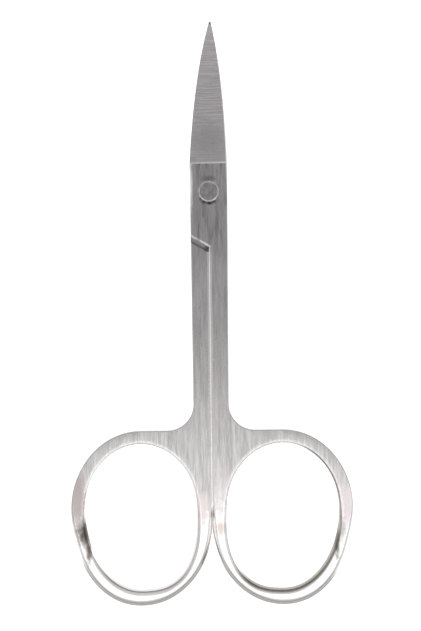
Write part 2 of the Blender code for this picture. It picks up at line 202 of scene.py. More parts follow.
# Polish: each pair is how far below the rivet it starts and is whole on the seam, along a ragged line
EDGE_POLISH = (47.0 * MM, 53.5 * MM)
CHAMFER_POLISH = (14.0 * MM, 56.0 * MM)
POLISHED_TONE = (0.86, 0.845, 0.835)
POLISHED_ROUGHNESS = 0.24
POLISHED_STRENGTH = 0.04  # what is left of the marks' height
POLISH_FALL = 0.125  # how much lower the line is for each length away from the seam
POLISH_LEAN = -0.057  # and how much lower, besides, for each length in X
RAGGED_SIZE = 1.6 * MM  # of the line's bays
RAGGED_REACH = 3.0 * MM  # from the bays' tops to their bottoms
STAINED_TONE = (0.62, 0.53, 0.51)  # in spots along the line
STAIN_SIZE = 0.9 * MM
STAIN_NOISE = (0.42, 0.62)
STAIN_POLISH = (1.0, 0.4)  # the polish at which there is none, and up to which there is all

# Wear: streaks that use has left on the flats round the rivet
WEAR_LIGHT = 0.52
WEAR_START = -14.0 * MM  # they come in between these two, and go on up to the blade
WEAR_END = -6.0 * MM
WEAR_SIDE = 2.9 * MM  # and fade on the left, from half this far to this far
STREAK_LENGTH = 6.0 * MM
STREAK_WIDTH = 0.6 * MM
STREAK_NOISE = (0.42, 0.6)
STREAK_LEAST = 0.25  # the wear between the streaks

# Inner faces: rubbed plain round the rivet, and darker in the corner by the shoulder, a painted shade
RUBBED_REACH = 1.5 * MM  # how far towards the tips they are plain
RUBBED_FADE = 1.5 * MM  # and over what length that ends
CORNER_SHADE_REACH = 0.45 * MM  # how far from the shoulder the painted shade reaches
CORNER_SHADE_LIGHT = 0.55

# A painted dark reflection is another tone on what is steep: painted shade that stands for dark surroundings
# mirrored in the steep sides. It starts this far below the rivet and is whole a length further down, and it
# starts lower by this fall for each length in X from a middle, or away from the seam where the middle is
# None. It comes in at the flatter slope below and is whole at this steep one.
Dull = namedtuple("Dull", "tone start length fall middle steep")
PAINTED_DARK_FLAT = math.radians(10.0)
PAINTED_DARK_STEEP = math.radians(44.0)
PAINTED_DARK_LENGTH = 4.0 * MM
PAINTED_DARK_FALL = 0.12
PAINTED_DARK_TONE = (0.24, 0.23, 0.22)
PAINTED_DARK_EDGE_TONE = (0.5, 0.485, 0.48)
WALL_PAINTED_DARK_LENGTH = 9.0 * MM  # on the wall of the opening

# A patch of stain or dirt, or of painted shade or highlight where said so below: middle, reach to either side
# and up and down, and colour
Smudge = namedtuple("Smudge", "middle reach tone")
STAIN_AND_LIGHT_EDGE = (1.8, 0.7)  # in reaches from its middle, with the grain added: where it ends and is whole
STAIN_AND_LIGHT_GRAIN = 0.8  # how many reaches the grain adds at most
STAIN_AND_LIGHT_GRAIN_SIZE = 0.6 * MM
# painted shadow along the lower side of the rivet's rim
RIVET_PAINTED_SHADE = (Smudge((0.0, -1.7 * MM), (1.1 * MM, 0.5 * MM), (0.34, 0.325, 0.33)),)

# What differs between the halves: the side of the seam with the ring, 1 or -1, its patches of stain and
# painted light, the polish of the flats, how far below the rivet the outer sides take painted dark reflection
# on the seam, and how the opening's wall does
Look = namedtuple("Look", "side smudges polish side_dull wall")
FRONT_LOOK = Look(
    side=1,
    smudges=(
        # outside of the ring, a painted shade
        Smudge((22.2 * MM, -51.2 * MM), (1.4 * MM, 3.4 * MM), (0.66, 0.6, 0.625)),
        # painted shade over the rivet, and painted shadow in a crescent under it
        Smudge((0.0, 2.1 * MM), (1.2 * MM, 0.5 * MM), (0.3, 0.28, 0.28)),
        Smudge((0.1 * MM, -1.92 * MM), (0.6 * MM, 0.26 * MM), (0.08, 0.075, 0.075)),
        Smudge((-0.75 * MM, -1.7 * MM), (0.42 * MM, 0.3 * MM), (0.12, 0.115, 0.115)),
        Smudge((-1.3 * MM, -1.25 * MM), (0.3 * MM, 0.35 * MM), (0.25, 0.24, 0.24)),
        Smudge((0.85 * MM, -1.65 * MM), (0.4 * MM, 0.28 * MM), (0.16, 0.15, 0.15)),
        # left edge of the lap, a painted highlight
        Smudge((-2.87 * MM, 0.6 * MM), (0.32 * MM, 4.0 * MM), (0.97, 0.95, 0.95)),
        # darker lower part of the blade, a painted shade
        Smudge((0.0, 8.4 * MM), (3.2 * MM, 2.9 * MM), (0.5, 0.473, 0.482)),
        # where the rings part: painted shade in the gap, then a stain on the seam side
        Smudge((0.15 * MM, -52.3 * MM), (0.25 * MM, 1.1 * MM), (0.3, 0.27, 0.26)),
        Smudge((1.4 * MM, -54.7 * MM), (0.9 * MM, 1.1 * MM), (0.66, 0.57, 0.54)),
        # lower part of the ring's outer bar, a painted shade
        Smudge((20.7 * MM, -55.0 * MM), (1.0 * MM, 1.9 * MM), (0.42, 0.4, 0.38)),
        Smudge((20.2 * MM, -56.8 * MM), (0.5 * MM, 3.2 * MM), (0.16, 0.15, 0.14)),
        # tip
        Smudge((0.5 * MM, 27.5 * MM), (0.6 * MM, 0.35 * MM), (0.15, 0.14, 0.14)),
    ),
    polish=(42.5 * MM, 57.0 * MM),
    # painted dark reflection: on the outer sides from this far down, and on the opening's wall
    side_dull=57.5 * MM,
    wall=Dull((0.3, 0.285, 0.26), 44.0 * MM, WALL_PAINTED_DARK_LENGTH, -1.9, RING_X, math.radians(32.0)),
)
BACK_LOOK = Look(
    side=-1,
    smudges=(
        # end of the slot, a painted shade
        Smudge((-0.3 * MM, -9.3 * MM), (0.6 * MM, 0.5 * MM), (0.2, 0.19, 0.19)),
        # where the rings part
        Smudge((-1.6 * MM, -51.2 * MM), (0.5 * MM, 2.4 * MM), (0.7, 0.62, 0.61)),
        # outside of the ring, and the lower part of its outer bar, a painted shade
        Smudge((-21.9 * MM, -49.4 * MM), (1.6 * MM, 4.6 * MM), (0.42, 0.375, 0.365)),
        Smudge((-20.5 * MM, -55.2 * MM), (1.5 * MM, 2.4 * MM), (0.1, 0.085, 0.075)),
        Smudge((-20.1 * MM, -58.3 * MM), (0.5 * MM, 2.2 * MM), (0.2, 0.18, 0.17)),
    ),
    polish=(47.5 * MM, 56.5 * MM),
    # painted dark reflection: on the outer sides from this far down, and on the opening's wall
    side_dull=55.5 * MM,
    wall=Dull((0.55, 0.53, 0.52), 51.0 * MM, WALL_PAINTED_DARK_LENGTH, -0.85, -RING_X, PAINTED_DARK_STEEP),
)

# Floor: plain paper on a white light table
WHITE = (1.0, 1.0, 1.0, 1.0)
FLOOR_SIZE = 6.0
FLOOR_DROP = 0.02 * MM
FLOOR_TONE = (0.95, 0.95, 0.95)
FLOOR_GLOW = 0.75
FLOOR_ROUGHNESS = 0.9
FLOOR_SHEEN = 0.1
FIBRE_SIZE = 0.4 * MM
FIBRE_NOISE = (0.3, 0.7)
FIBRE_LIGHT = 0.99

# Light tent: light comes from a direction, a vector of length 1. Each pair is where, along one of its
# axes, one light starts to turn into another and where it has.
RING_WALL_LIGHT = 0.72  # high on the wall beyond the finger rings
TIP_WALL_LIGHT = 0.68  # high on the wall beyond the tips
WALL_ENDS = (-0.5, 0.5)  # along Y, from the one to the other
LOW_LIGHT = 0.5  # low on the walls
SIDE_LIGHT = 0.95  # and low on the left and on the right
SIDE_ENDS = (0.65, 0.95)  # along X
WALL_HEIGHTS = (0.2, 0.8)  # along Z, from low to high
HORIZON_LIGHT = 0.12
HORIZON_TURN = math.radians(70.0)  # where the dark horizon is, round from +X
HORIZON_ENDS = (0.1, 0.7)  # along the line towards there
HORIZON_HEIGHTS = (0.05, 0.36)  # along Z, from dark to light
CEILING_LIGHT = 0.315
CEILING_LEAN = math.radians(7.5)  # how far the dim ceiling leans over the finger rings
CEILING_ENDS = (0.925, 0.985)  # along the line to its middle

# Softboxes: they hang with their middle here and shine straight down
Softbox = namedtuple("Softbox", "name middle width length radiance")
SOFTBOXES = (
    Softbox("ring_light", (0.0, -90.0 * MM, 110.0 * MM), 180.0 * MM, 102.0 * MM, 1.0),
    Softbox("tip_light", (0.0, 70.0 * MM, 80.0 * MM), 120.0 * MM, 50.0 * MM, 0.4),
)

# Camera: straight above, with the scissors turned a little in the picture
FRAME_HEIGHT = 102.54 * MM
FRAME_CENTRE = Vector((0.077 * MM, -20.168 * MM))
FRAME_TURN = -0.0114  # in radians
SHARP_HEIGHT = 2.0 * MM  # the height above the floor at which the picture has its scale
LENS = 180.0
SENSOR = 36.0
CLIP_START = 0.01
CLIP_END = 20.0


def mix(a, b, share):
    """The value that is this share of the way from a to b."""
    return a + (b - a) * share


def clamp(share):
    """The share, kept from 0 to 1."""
    return min(max(share, 0.0), 1.0)


def half_width(y):
    """Half the width of the closed scissors at y, along the straight edges from the neck to the heel."""
    top_of_ring = OPENING_ABOVE + TOP_BAR - RING_REACH
    neck_y = top_of_ring + NECK_RADIUS
    return mix(NECK_WIDTH, HEEL_WIDTH, (y - neck_y) / (HEEL_REACH - neck_y)) / 2


def blade_side(bend_width, tip_width):
    """Points (half width, y) up one side of the blades, on a curve drawn towards the bend."""
    heel = Vector((HEEL_WIDTH / 2, HEEL_REACH))
    tip = Vector((tip_width, TIP_REACH - TIP_RADIUS))
    bend = Vector((bend_width, mix(heel.y, tip.y, BEND_SHARE)))
    points = []
    for step in range(BLADE_STEPS + 1):
        share = step / BLADE_STEPS
        points.append(mix(mix(heel, bend, share), mix(bend, tip, share), share))
    return points


def quadrant(centre, semi_x, semi_y, start, end, steps=QUADRANT_STEPS, fullness=2.0):
    """Points on an ellipse from one angle to another, in degrees. More fullness makes it squarer."""
    points = []
    for step in range(steps + 1):
        angle = math.radians(mix(start, end, step / steps))
        x = math.copysign(abs(math.cos(angle)) ** (2 / fullness), math.cos(angle))
        y = math.copysign(abs(math.sin(angle)) ** (2 / fullness), math.sin(angle))
        points.append(centre + Vector((semi_x * x, semi_y * y)))
    return points


def ring_rim(rim, y):
    """The rim of a ring's edge at y: as given above, and round over half the bar's width below."""
    depth = clamp((-y - RING_REACH) / (OPENING_BELOW + BOTTOM_BAR))
    round_rim = Rim(mix(SIDE_ROUND, BOTTOM_ROUND, depth * depth), FULL_DROP, 2.0)
    share = clamp((-y - ROUNDING_START) / (ROUNDING_END - ROUNDING_START))
    share = share * share * (3 - 2 * share)
    return Rim(*(mix(a, b, share) for a, b in zip(rim, round_rim)))


def bevel_rim(y):
    """The rim of the cutting edge at y: its bevel gets narrower towards the tip."""
    width = mix(BEVEL_WIDTH, SPINE_BREAK, (y - HEEL_REACH) / (TIP_REACH - HEEL_REACH))
    return Rim(width, FULL_DROP, 1.0)


def half_outline(spine_bend, edge_bend, tip_x):
    """Stations (point, rim) round a half, anticlockwise from the tip: spine, lap, seam, ring, edge."""
    spine = blade_side(spine_bend, TIP_RADIUS - tip_x)
    edge = blade_side(edge_bend, TIP_RADIUS + tip_x)
    tip_centre = Vector((tip_x, TIP_REACH - TIP_RADIUS))
    ring_top = OPENING_ABOVE + TOP_BAR - RING_REACH
    ring_bottom = -RING_REACH - OPENING_BELOW - BOTTOM_BAR
    outer_semi = OPENING_WIDTH / 2 + OUTER_BAR
    widest = Vector((RING_X, -RING_REACH))
    seam_end = Vector((RING_X, -SEAM_REACH))
    lap_corner = Vector((-half_width(-LAP_REACH), -LAP_REACH))
    lap_fall = (SEAM_X - lap_corner.x) * math.tan(SHOULDER_ANGLE)
    seam_top = Vector((SEAM_X, lap_corner.y - lap_fall))
    neck_y = ring_top + NECK_RADIUS
    neck_centre = Vector((half_width(neck_y) + NECK_RADIUS, neck_y))

    tip = quadrant(tip_centre, TIP_RADIUS, TIP_RADIUS, 90, 180, TIP_STEPS)
    stations = [(point, SPINE_RIM) for point in tip]
    stations += [(Vector((-p.x, p.y)), SPINE_RIM) for p in reversed(spine[1:-1])]
    stations.append((Vector((-half_width(HEEL_REACH), HEEL_REACH)), HEEL_RIM))
    stations.append((Vector((-half_width(0.0), 0.0)), HEEL_RIM))
    stations.append((Vector((-half_width(-HEEL_CHAMFER_END), -HEEL_CHAMFER_END)), SPINE_RIM))
    stations.append((lap_corner + Vector((0, LAP_CHAMFER)), SPINE_RIM))
    stations.append((lap_corner, LAP_RIM))
    stations.append((seam_top, SEAM_RIM))

    inner = []
    for step in range(1, QUADRANT_STEPS):
        y = mix(-ROUNDING_START, -SEAM_REACH, step / QUADRANT_STEPS)
        inner.append(Vector((SEAM_X, y)))
    inner += quadrant(seam_end, RING_X - SEAM_X, -SEAM_REACH - ring_bottom, 180, 270)
    stations += [(p, ring_rim(SEAM_RIM, p.y)) for p in inner]
    outer = quadrant(widest, outer_semi, -RING_REACH - ring_bottom, 270, 360, fullness=OUTER_FULLNESS)[1:]
    outer += quadrant(widest, outer_semi, ring_top + RING_REACH, 0, 90)[1:]
    stations += [(p, ring_rim(SHANK_RIM, p.y)) for p in outer]
    neck = quadrant(neck_centre, NECK_RADIUS, NECK_RADIUS, 270, 180, NECK_STEPS)
    stations += [(p, SHANK_RIM) for p in neck]
    stations.append((Vector((half_width(0.0), 0.0)), SHANK_RIM))

    rounded = quadrant(tip_centre, TIP_RADIUS, TIP_RADIUS, 0, 90, TIP_STEPS)
    stations += [(p, bevel_rim(p.y)) for p in edge + rounded[1:-1]]
    return stations


def opening_outline():
    """Stations (point, rim) round the finger opening, clockwise."""
    centre = Vector((RING_X, -RING_REACH))
    semi = OPENING_WIDTH / 2
    points = quadrant(centre, semi, OPENING_ABOVE, 180, 90)[:-1]
    points += quadrant(centre, semi, OPENING_ABOVE, 90, 0)[:-1]
    points += quadrant(centre, semi, OPENING_BELOW, 0, -90)[:-1]
    points += quadrant(centre, semi, OPENING_BELOW, -90, -180, fullness=INNER_FULLNESS)[:-1]
    return [(p, ring_rim(OPENING_RIM, p.y)) for p in points]


def inward(stations, index):
    """How far a point moves, and which way, for each metre that the outline's edges move into the steel."""
    before = stations[index - 1][0]
    here = stations[index][0]
    after = stations[(index + 1) % len(stations)][0]
    first = (here - before).normalized()
    second = (after - here).normalized()
    first_normal = Vector((-first.y, first.x))
    second_normal = Vector((-second.y, second.x))
    return (first_normal + second_normal) / (1 + first_normal.dot(second_normal))


def rim_column(bm, point, rim, direction):
    """Vertices from the upper flat, round the rim, down the side and round to the lower flat."""
    upper = []
    for step in range(RIM_STEPS + 1):
        turn = math.pi / 2 * step / RIM_STEPS
        inset = rim.inset * (1 - math.sin(turn) ** (2 / rim.fullness))
        drop = rim.drop * (1 - max(math.cos(turn), 0.0) ** (2 / rim.fullness))
        upper.append((point + direction * inset, drop))
    column = [bm.verts.new((p.x, p.y, THICKNESS - drop)) for p, drop in upper]
    column += [bm.verts.new((p.x, p.y, drop)) for p, drop in reversed(upper)]
    return column


def skin_loop(bm, stations, round_slot, side_slot):
    """Faces round one closed outline. Returns its edges on the upper and on the lower flat."""
    columns = []
    for index, (point, rim) in enumerate(stations):
        columns.append(rim_column(bm, point, rim, inward(stations, index)))
    upper_edges = []
    lower_edges = []
    for index, column in enumerate(columns):
        following = columns[(index + 1) % len(columns)]
        rim = stations[index][1]
        is_round = rim.fullness > ROUND_FULLNESS
        is_bevel = rim.drop > rim.inset
        for row in range(len(column) - 1):
            face = bm.faces.new((column[row], column[row + 1], following[row + 1], following[row]))
            from_flat = min(row, len(column) - 2 - row)
            if from_flat == RIM_STEPS or (is_round and from_flat >= STEEP_ROW):
                face.material_index = side_slot
            elif is_round:
                face.material_index = round_slot
            else:
                face.material_index = side_slot if is_bevel else CHAMFER
        upper_edges.append(bm.edges.get((column[0], following[0])))
        lower_edges.append(bm.edges.get((column[-1], following[-1])))
    return upper_edges, lower_edges


def new_object(name, bm, materials):
    """An object in the scene that holds this mesh, with its faces pointing out."""
    bmesh.ops.recalc_face_normals(bm, faces=bm.faces)
    mesh = bpy.data.meshes.new(name)
    bm.to_mesh(mesh)
    bm.free()
    for material in materials:
        mesh.materials.append(material)
    obj = bpy.data.objects.new(name, mesh)
    bpy.context.scene.collection.objects.link(obj)
    return obj


def rimmed_plate(name, outline, materials):
    """A whole half before its lap, blade and bore are cut: full thickness everywhere, with its rims."""
    bm = bmesh.new()
    upper, lower = skin_loop(bm, outline, EDGE, SIDE)
    upper_hole, lower_hole = skin_loop(bm, opening_outline(), BAR, BAR)
    bmesh.ops.triangle_fill(bm, edges=upper + upper_hole, use_beauty=True)
    bmesh.ops.triangle_fill(bm, edges=lower + lower_hole, use_beauty=True)
    return new_object(name, bm, materials)


def loft(name, sections, material):
    """A closed solid through sections that each have as many points."""
    bm = bmesh.new()
    rings = [[bm.verts.new(point) for point in section] for section in sections]
    for ring, following in zip(rings, rings[1:]):
        for index, vertex in enumerate(ring):
            after = (index + 1) % len(ring)
            bm.faces.new((vertex, ring[after], following[after], following[index]))
    bm.faces.new(rings[0])
    bm.faces.new(rings[-1])
    bm.normal_update()
    bmesh.ops.triangulate(bm, faces=bm.faces)
    return new_object(name, bm, [material])


def lathe(name, profile, material):
    """A solid turned about the Z axis from points (radius, z) that start and end on the axis."""
    bm = bmesh.new()
    vertices = [bm.verts.new((radius, 0.0, z)) for radius, z in profile]
    edges = [bm.edges.new(pair) for pair in zip(vertices, vertices[1:])]
    bmesh.ops.spin(
        bm,
        geom=vertices + edges,
        cent=(0, 0, 0),
        axis=(0, 0, 1),
        angle=math.tau,
        steps=ROUND_STEPS,
        use_merge=True,
    )
    bmesh.ops.remove_doubles(bm, verts=bm.verts, dist=MERGE_DISTANCE)
    return new_object(name, bm, [material])


def shoulder_distance():
    """How far the shoulder is from the rivet's axis, square to the shoulder."""
    corner = Vector((half_width(-LAP_REACH), LAP_REACH))
    return corner.x * math.sin(SHOULDER_ANGLE) + corner.y * math.cos(SHOULDER_ANGLE) + SLOT_WIDTH


def lap_cutter(material):
    """Clears the lower half of the bar from the shoulder to past the tip, and chamfers the shoulder."""
    along = Vector((math.cos(SHOULDER_ANGLE), math.sin(SHOULDER_ANGLE), 0))
    towards_tip = Vector((-math.sin(SHOULDER_ANGLE), math.cos(SHOULDER_ANGLE), 0))
    far = shoulder_distance() + TIP_REACH + CUT_MARGIN
    deep = SHOULDER_CHAMFER + CUT_MARGIN
    profile = [
        (0, LAP_FACE),
        (0, SHOULDER_CHAMFER),
        (-deep, -CUT_MARGIN),
        (far, -CUT_MARGIN),
        (far, LAP_FACE),
    ]
    sections = []
    for reach in (-far, far):
        base = along * reach - towards_tip * shoulder_distance()
        sections.append([base + towards_tip * u + Vector((0, 0, z)) for u, z in profile])
    return loft("lap_cutter", sections, material)


def grind_cutter(material):
    """Grinds the blade's outer face: a short ramp at the heel, then a plane that thins it to the tip."""
    ramp_end = HEEL_REACH + GRIND_RAMP
    far = TIP_REACH + CUT_MARGIN
    side = HEEL_WIDTH / 2 + CUT_MARGIN
    roll = (GRIND_STEP_EDGE - GRIND_STEP_SPINE) / HEEL_WIDTH
    middle_step = (GRIND_STEP_EDGE + GRIND_STEP_SPINE) / 2
    tip_fall = THICKNESS - LAP_FACE - TIP_THICKNESS - middle_step
    slope = tip_fall / (TIP_REACH - ramp_end)
    sections = []
    for x in (-side, side):
        step = middle_step + roll * x
        rise = CUT_MARGIN * GRIND_RAMP / step
        skew = GRIND_SKEW * x
        section = [
            (HEEL_REACH + skew - rise, THICKNESS + CUT_MARGIN),
            (ramp_end + skew, THICKNESS - step - slope * skew),
            (far, THICKNESS - step - slope * (far - ramp_end)),
            (far, THICKNESS + CUT_MARGIN),
        ]
        sections.append([Vector((x, y, z)) for y, z in section])
    return loft("grind_cutter", sections, material)


def hollow_cutter(material):
    """Hollows the blade's inner face, running in after the rivet and out at the tip."""
    chord = HOLLOW_WIDTH / 2
    radius = (chord * chord + HOLLOW_DEPTH * HOLLOW_DEPTH) / (2 * HOLLOW_DEPTH)
    spread = math.asin((HEEL_WIDTH / 2 + CUT_MARGIN) / radius)
    stops = (
        (HOLLOW_START, -HOLLOW_RUN_OUT),
        (HOLLOW_START + HOLLOW_RUN_IN, HOLLOW_DEPTH),
        (TIP_REACH, -HOLLOW_RUN_OUT),
    )
    sections = []
    for y, depth in stops:
        centre_z = LAP_FACE + depth - radius
        section = []
        for step in range(HOLLOW_STEPS + 1):
            angle = mix(-spread, spread, step / HOLLOW_STEPS)
            section.append(Vector((radius * math.sin(angle), y, centre_z + radius * math.cos(angle))))
        foot = section[0].z - CUT_MARGIN
        section.append(Vector((section[-1].x, y, foot)))
        section.append(Vector((section[0].x, y, foot)))
        sections.append(section)
    return loft("hollow_cutter", sections, material)


def bore_cutter(material):
    """Bores the lap for the rivet's shank and sinks a chamfered seat for its head."""
    bore = RIVET_SHANK_RADIUS + RIVET_CLEARANCE
    seat = RIVET_HEAD_RADIUS + RIVET_CLEARANCE
    floor = THICKNESS - RIVET_HEAD_DEPTH - RIVET_CLEARANCE
    profile = [
        (0, MIDDLE - CUT_MARGIN),
        (bore, MIDDLE - CUT_MARGIN),
        (bore, floor),
        (seat, floor),
        (seat, THICKNESS - SEAT_CHAMFER),
        (seat + SEAT_CHAMFER + CUT_MARGIN, THICKNESS + CUT_MARGIN),
        (0, THICKNESS + CUT_MARGIN),
    ]
    return lathe("bore_cutter", profile, material)


def carve(body, cutters):
    """Cut each cutter out of the body. The cut faces take the cutter's material."""
    for cutter in cutters:
        cut = body.modifiers.new(cutter.name, "BOOLEAN")
        cut.operation = "DIFFERENCE"
        cut.solver = "EXACT"
        cut.material_mode = "TRANSFER"
        cut.object = cutter
    graph = bpy.context.evaluated_depsgraph_get()
    carved = bpy.data.meshes.new_from_object(body.evaluated_get(graph))
    carved.name = body.name
    body.modifiers.clear()
    body.data = carved
    for cutter in cutters:
        bpy.data.objects.remove(cutter)


def shade(obj):
    """Shade rounds smooth, edges sharp, and each flat as flat right up to its rim."""
    obj.data.shade_smooth()
    obj.data.set_sharp_from_angle(angle=SHARP_ANGLE)
    weighted = obj.modifiers.new("flats_stay_flat", "WEIGHTED_NORMAL")
    weighted.keep_sharp = True
    weighted.weight = 100


def node(tree, kind, inputs=None, **settings):
    """A shader node with its settings, and with its inputs by name or number: values, or sockets to link."""
    made = tree.nodes.new(kind)
    for name, value in settings.items():
        setattr(made, name, value)
    for name, value in (inputs or {}).items():
        if isinstance(value, bpy.types.NodeSocket):
            tree.links.new(value, made.inputs[name])
        else:
            made.inputs[name].default_value = value
    return made


def times(tree, product, *factors):
    """The product of values."""
    for factor in factors:
        product = node(tree, "ShaderNodeMath", {0: product, 1: factor}, operation="MULTIPLY").outputs[0]
    return product


def sum_of(tree, total, *others):
    """The sum of values."""
    for other in others:
        total = node(tree, "ShaderNodeMath", {0: total, 1: other}, operation="ADD").outputs[0]
    return total


def magnitude(tree, value):
    """The value without its sign."""
    return node(tree, "ShaderNodeMath", {0: value}, operation="ABSOLUTE").outputs[0]


def ramp(tree, value, start, end, low=0.0, high=1.0):
    """The value, taken from the range start to end onto low to high, with soft ends."""
    made = node(
        tree,
        "ShaderNodeMapRange",
        {"Value": value, "From Min": start, "From Max": end, "To Min": low, "To Max": high},
        interpolation_type="SMOOTHSTEP",
    )
    return made.outputs["Result"]


def blend_values(tree, share, first, second):
    """First where the share is 0, second where it is 1."""
    made = node(tree, "ShaderNodeMix", {0: share, 2: first, 3: second}, data_type="FLOAT")
    return made.outputs[0]


def blend_colours(tree, share, first, second):
    """First where the share is 0, second where it is 1. Each is a colour (r, g, b) or a socket."""
    first = first if isinstance(first, bpy.types.NodeSocket) else (*first, 1.0)
    second = second if isinstance(second, bpy.types.NodeSocket) else (*second, 1.0)
    made = node(tree, "ShaderNodeMix", {0: share, 6: first, 7: second}, data_type="RGBA")
    return made.outputs[2]


def darker(tone, share):
    """The colour, with this share of its light."""
    return tuple(channel * share for channel in tone)


def marks(tree, place, length, width, grain, detail=3.0):
    """Noise from 0 to 1, drawn out along the grain, X or Y, into brush marks of this length and width."""
    along = 1 / length
    across = 1 / width
    scale = (along, across, across) if grain == "X" else (across, along, across)
    stretched = node(tree, "ShaderNodeVectorMath", {0: place, 1: scale}, operation="MULTIPLY")
    noise = node(
        tree,
        "ShaderNodeTexNoise",
        {"Vector": stretched.outputs[0], "Scale": 1.0, "Detail": detail, "Roughness": MARK_HARSHNESS},
    )
    return noise.outputs["Fac"]


def blotches(tree, place, size, detail=3.0):
    """Noise from 0 to 1 in patches of this size."""
    noise = node(tree, "ShaderNodeTexNoise", {"Vector": place, "Scale": 1 / size, "Detail": detail})
    return noise.outputs["Fac"]


def slope_share(tree, start, end):
    """0 where a surface leaves the flat by less than the first angle, 1 where it does by the second."""
    facing = node(tree, "ShaderNodeTexCoord").outputs["Normal"]
    upward = node(tree, "ShaderNodeSeparateXYZ", {0: facing}).outputs["Z"]
    return ramp(tree, magnitude(tree, upward), math.cos(start), math.cos(end))


def painted_corner_shade(tree, parts, side):
    """Painted shade: 1 in the corner by the shoulder that is on this side, 1 or -1, and 0 from a little way
    off.
    """
    across = times(tree, parts["X"], side * math.sin(SHOULDER_ANGLE))
    along = sum_of(tree, times(tree, parts["Y"], math.cos(SHOULDER_ANGLE)), across)
    return ramp(tree, along, CORNER_SHADE_REACH - shoulder_distance(), -shoulder_distance())


def wear_share(tree, place, parts):
    """How worn the flats are, from 0 to 1."""
    streaks = marks(tree, place, STREAK_LENGTH, STREAK_WIDTH, "Y")
    streaks = ramp(tree, streaks, *STREAK_NOISE, STREAK_LEAST, 1.0)
    near = ramp(tree, parts["Y"], WEAR_START, WEAR_END)
    aside = ramp(tree, parts["X"], -WEAR_SIDE, -WEAR_SIDE / 2)
    return times(tree, streaks, near, aside)


def polish_share(tree, place, parts, polish):
    """How far a surface has turned from brushed to polished, from 0 to 1."""
    start, end = polish
    away = times(tree, magnitude(tree, parts["X"]), POLISH_FALL)
    lean = times(tree, parts["X"], POLISH_LEAN)
    ragged = times(tree, blotches(tree, place, RAGGED_SIZE), RAGGED_REACH)
    line = sum_of(tree, parts["Y"], away, lean, ragged)
    return ramp(tree, line, RAGGED_REACH / 2 - start, RAGGED_REACH / 2 - end)


def stain_share(tree, place, polished):
    """How stained a surface is, from 0 to 1, where it turns polished."""
    turning = times(tree, polished, ramp(tree, polished, *STAIN_POLISH))
    return times(tree, turning, ramp(tree, blotches(tree, place, STAIN_SIZE), *STAIN_NOISE))


def painted_dark_share(tree, parts, dull):
    """How much painted dark reflection a surface takes, from 0 to 1."""
    if dull.middle is None:
        aside = magnitude(tree, parts["X"])
    else:
        aside = sum_of(tree, parts["X"], -dull.middle)
    line = sum_of(tree, parts["Y"], times(tree, aside, dull.fall))
    low = ramp(tree, line, -dull.start, -dull.start - dull.length)
    return times(tree, low, slope_share(tree, PAINTED_DARK_FLAT, dull.steep))


def stain_and_painted_light_share(tree, place, smudge):
    """1 in the middle of a patch of stain or painted light, and 0 from its ragged edge."""
    middle = (*smudge.middle, 0.0)
    scale = (1 / smudge.reach[0], 1 / smudge.reach[1], 0.0)
    offset = node(tree, "ShaderNodeVectorMath", {0: place, 1: middle}, operation="SUBTRACT").outputs[0]
    spread = node(tree, "ShaderNodeVectorMath", {0: offset, 1: scale}, operation="MULTIPLY").outputs[0]
    distance = node(tree, "ShaderNodeVectorMath", {0: spread}, operation="LENGTH").outputs["Value"]
    ragged = times(tree, blotches(tree, place, STAIN_AND_LIGHT_GRAIN_SIZE), STAIN_AND_LIGHT_GRAIN)
    return ramp(tree, sum_of(tree, distance, ragged), *STAIN_AND_LIGHT_EDGE)


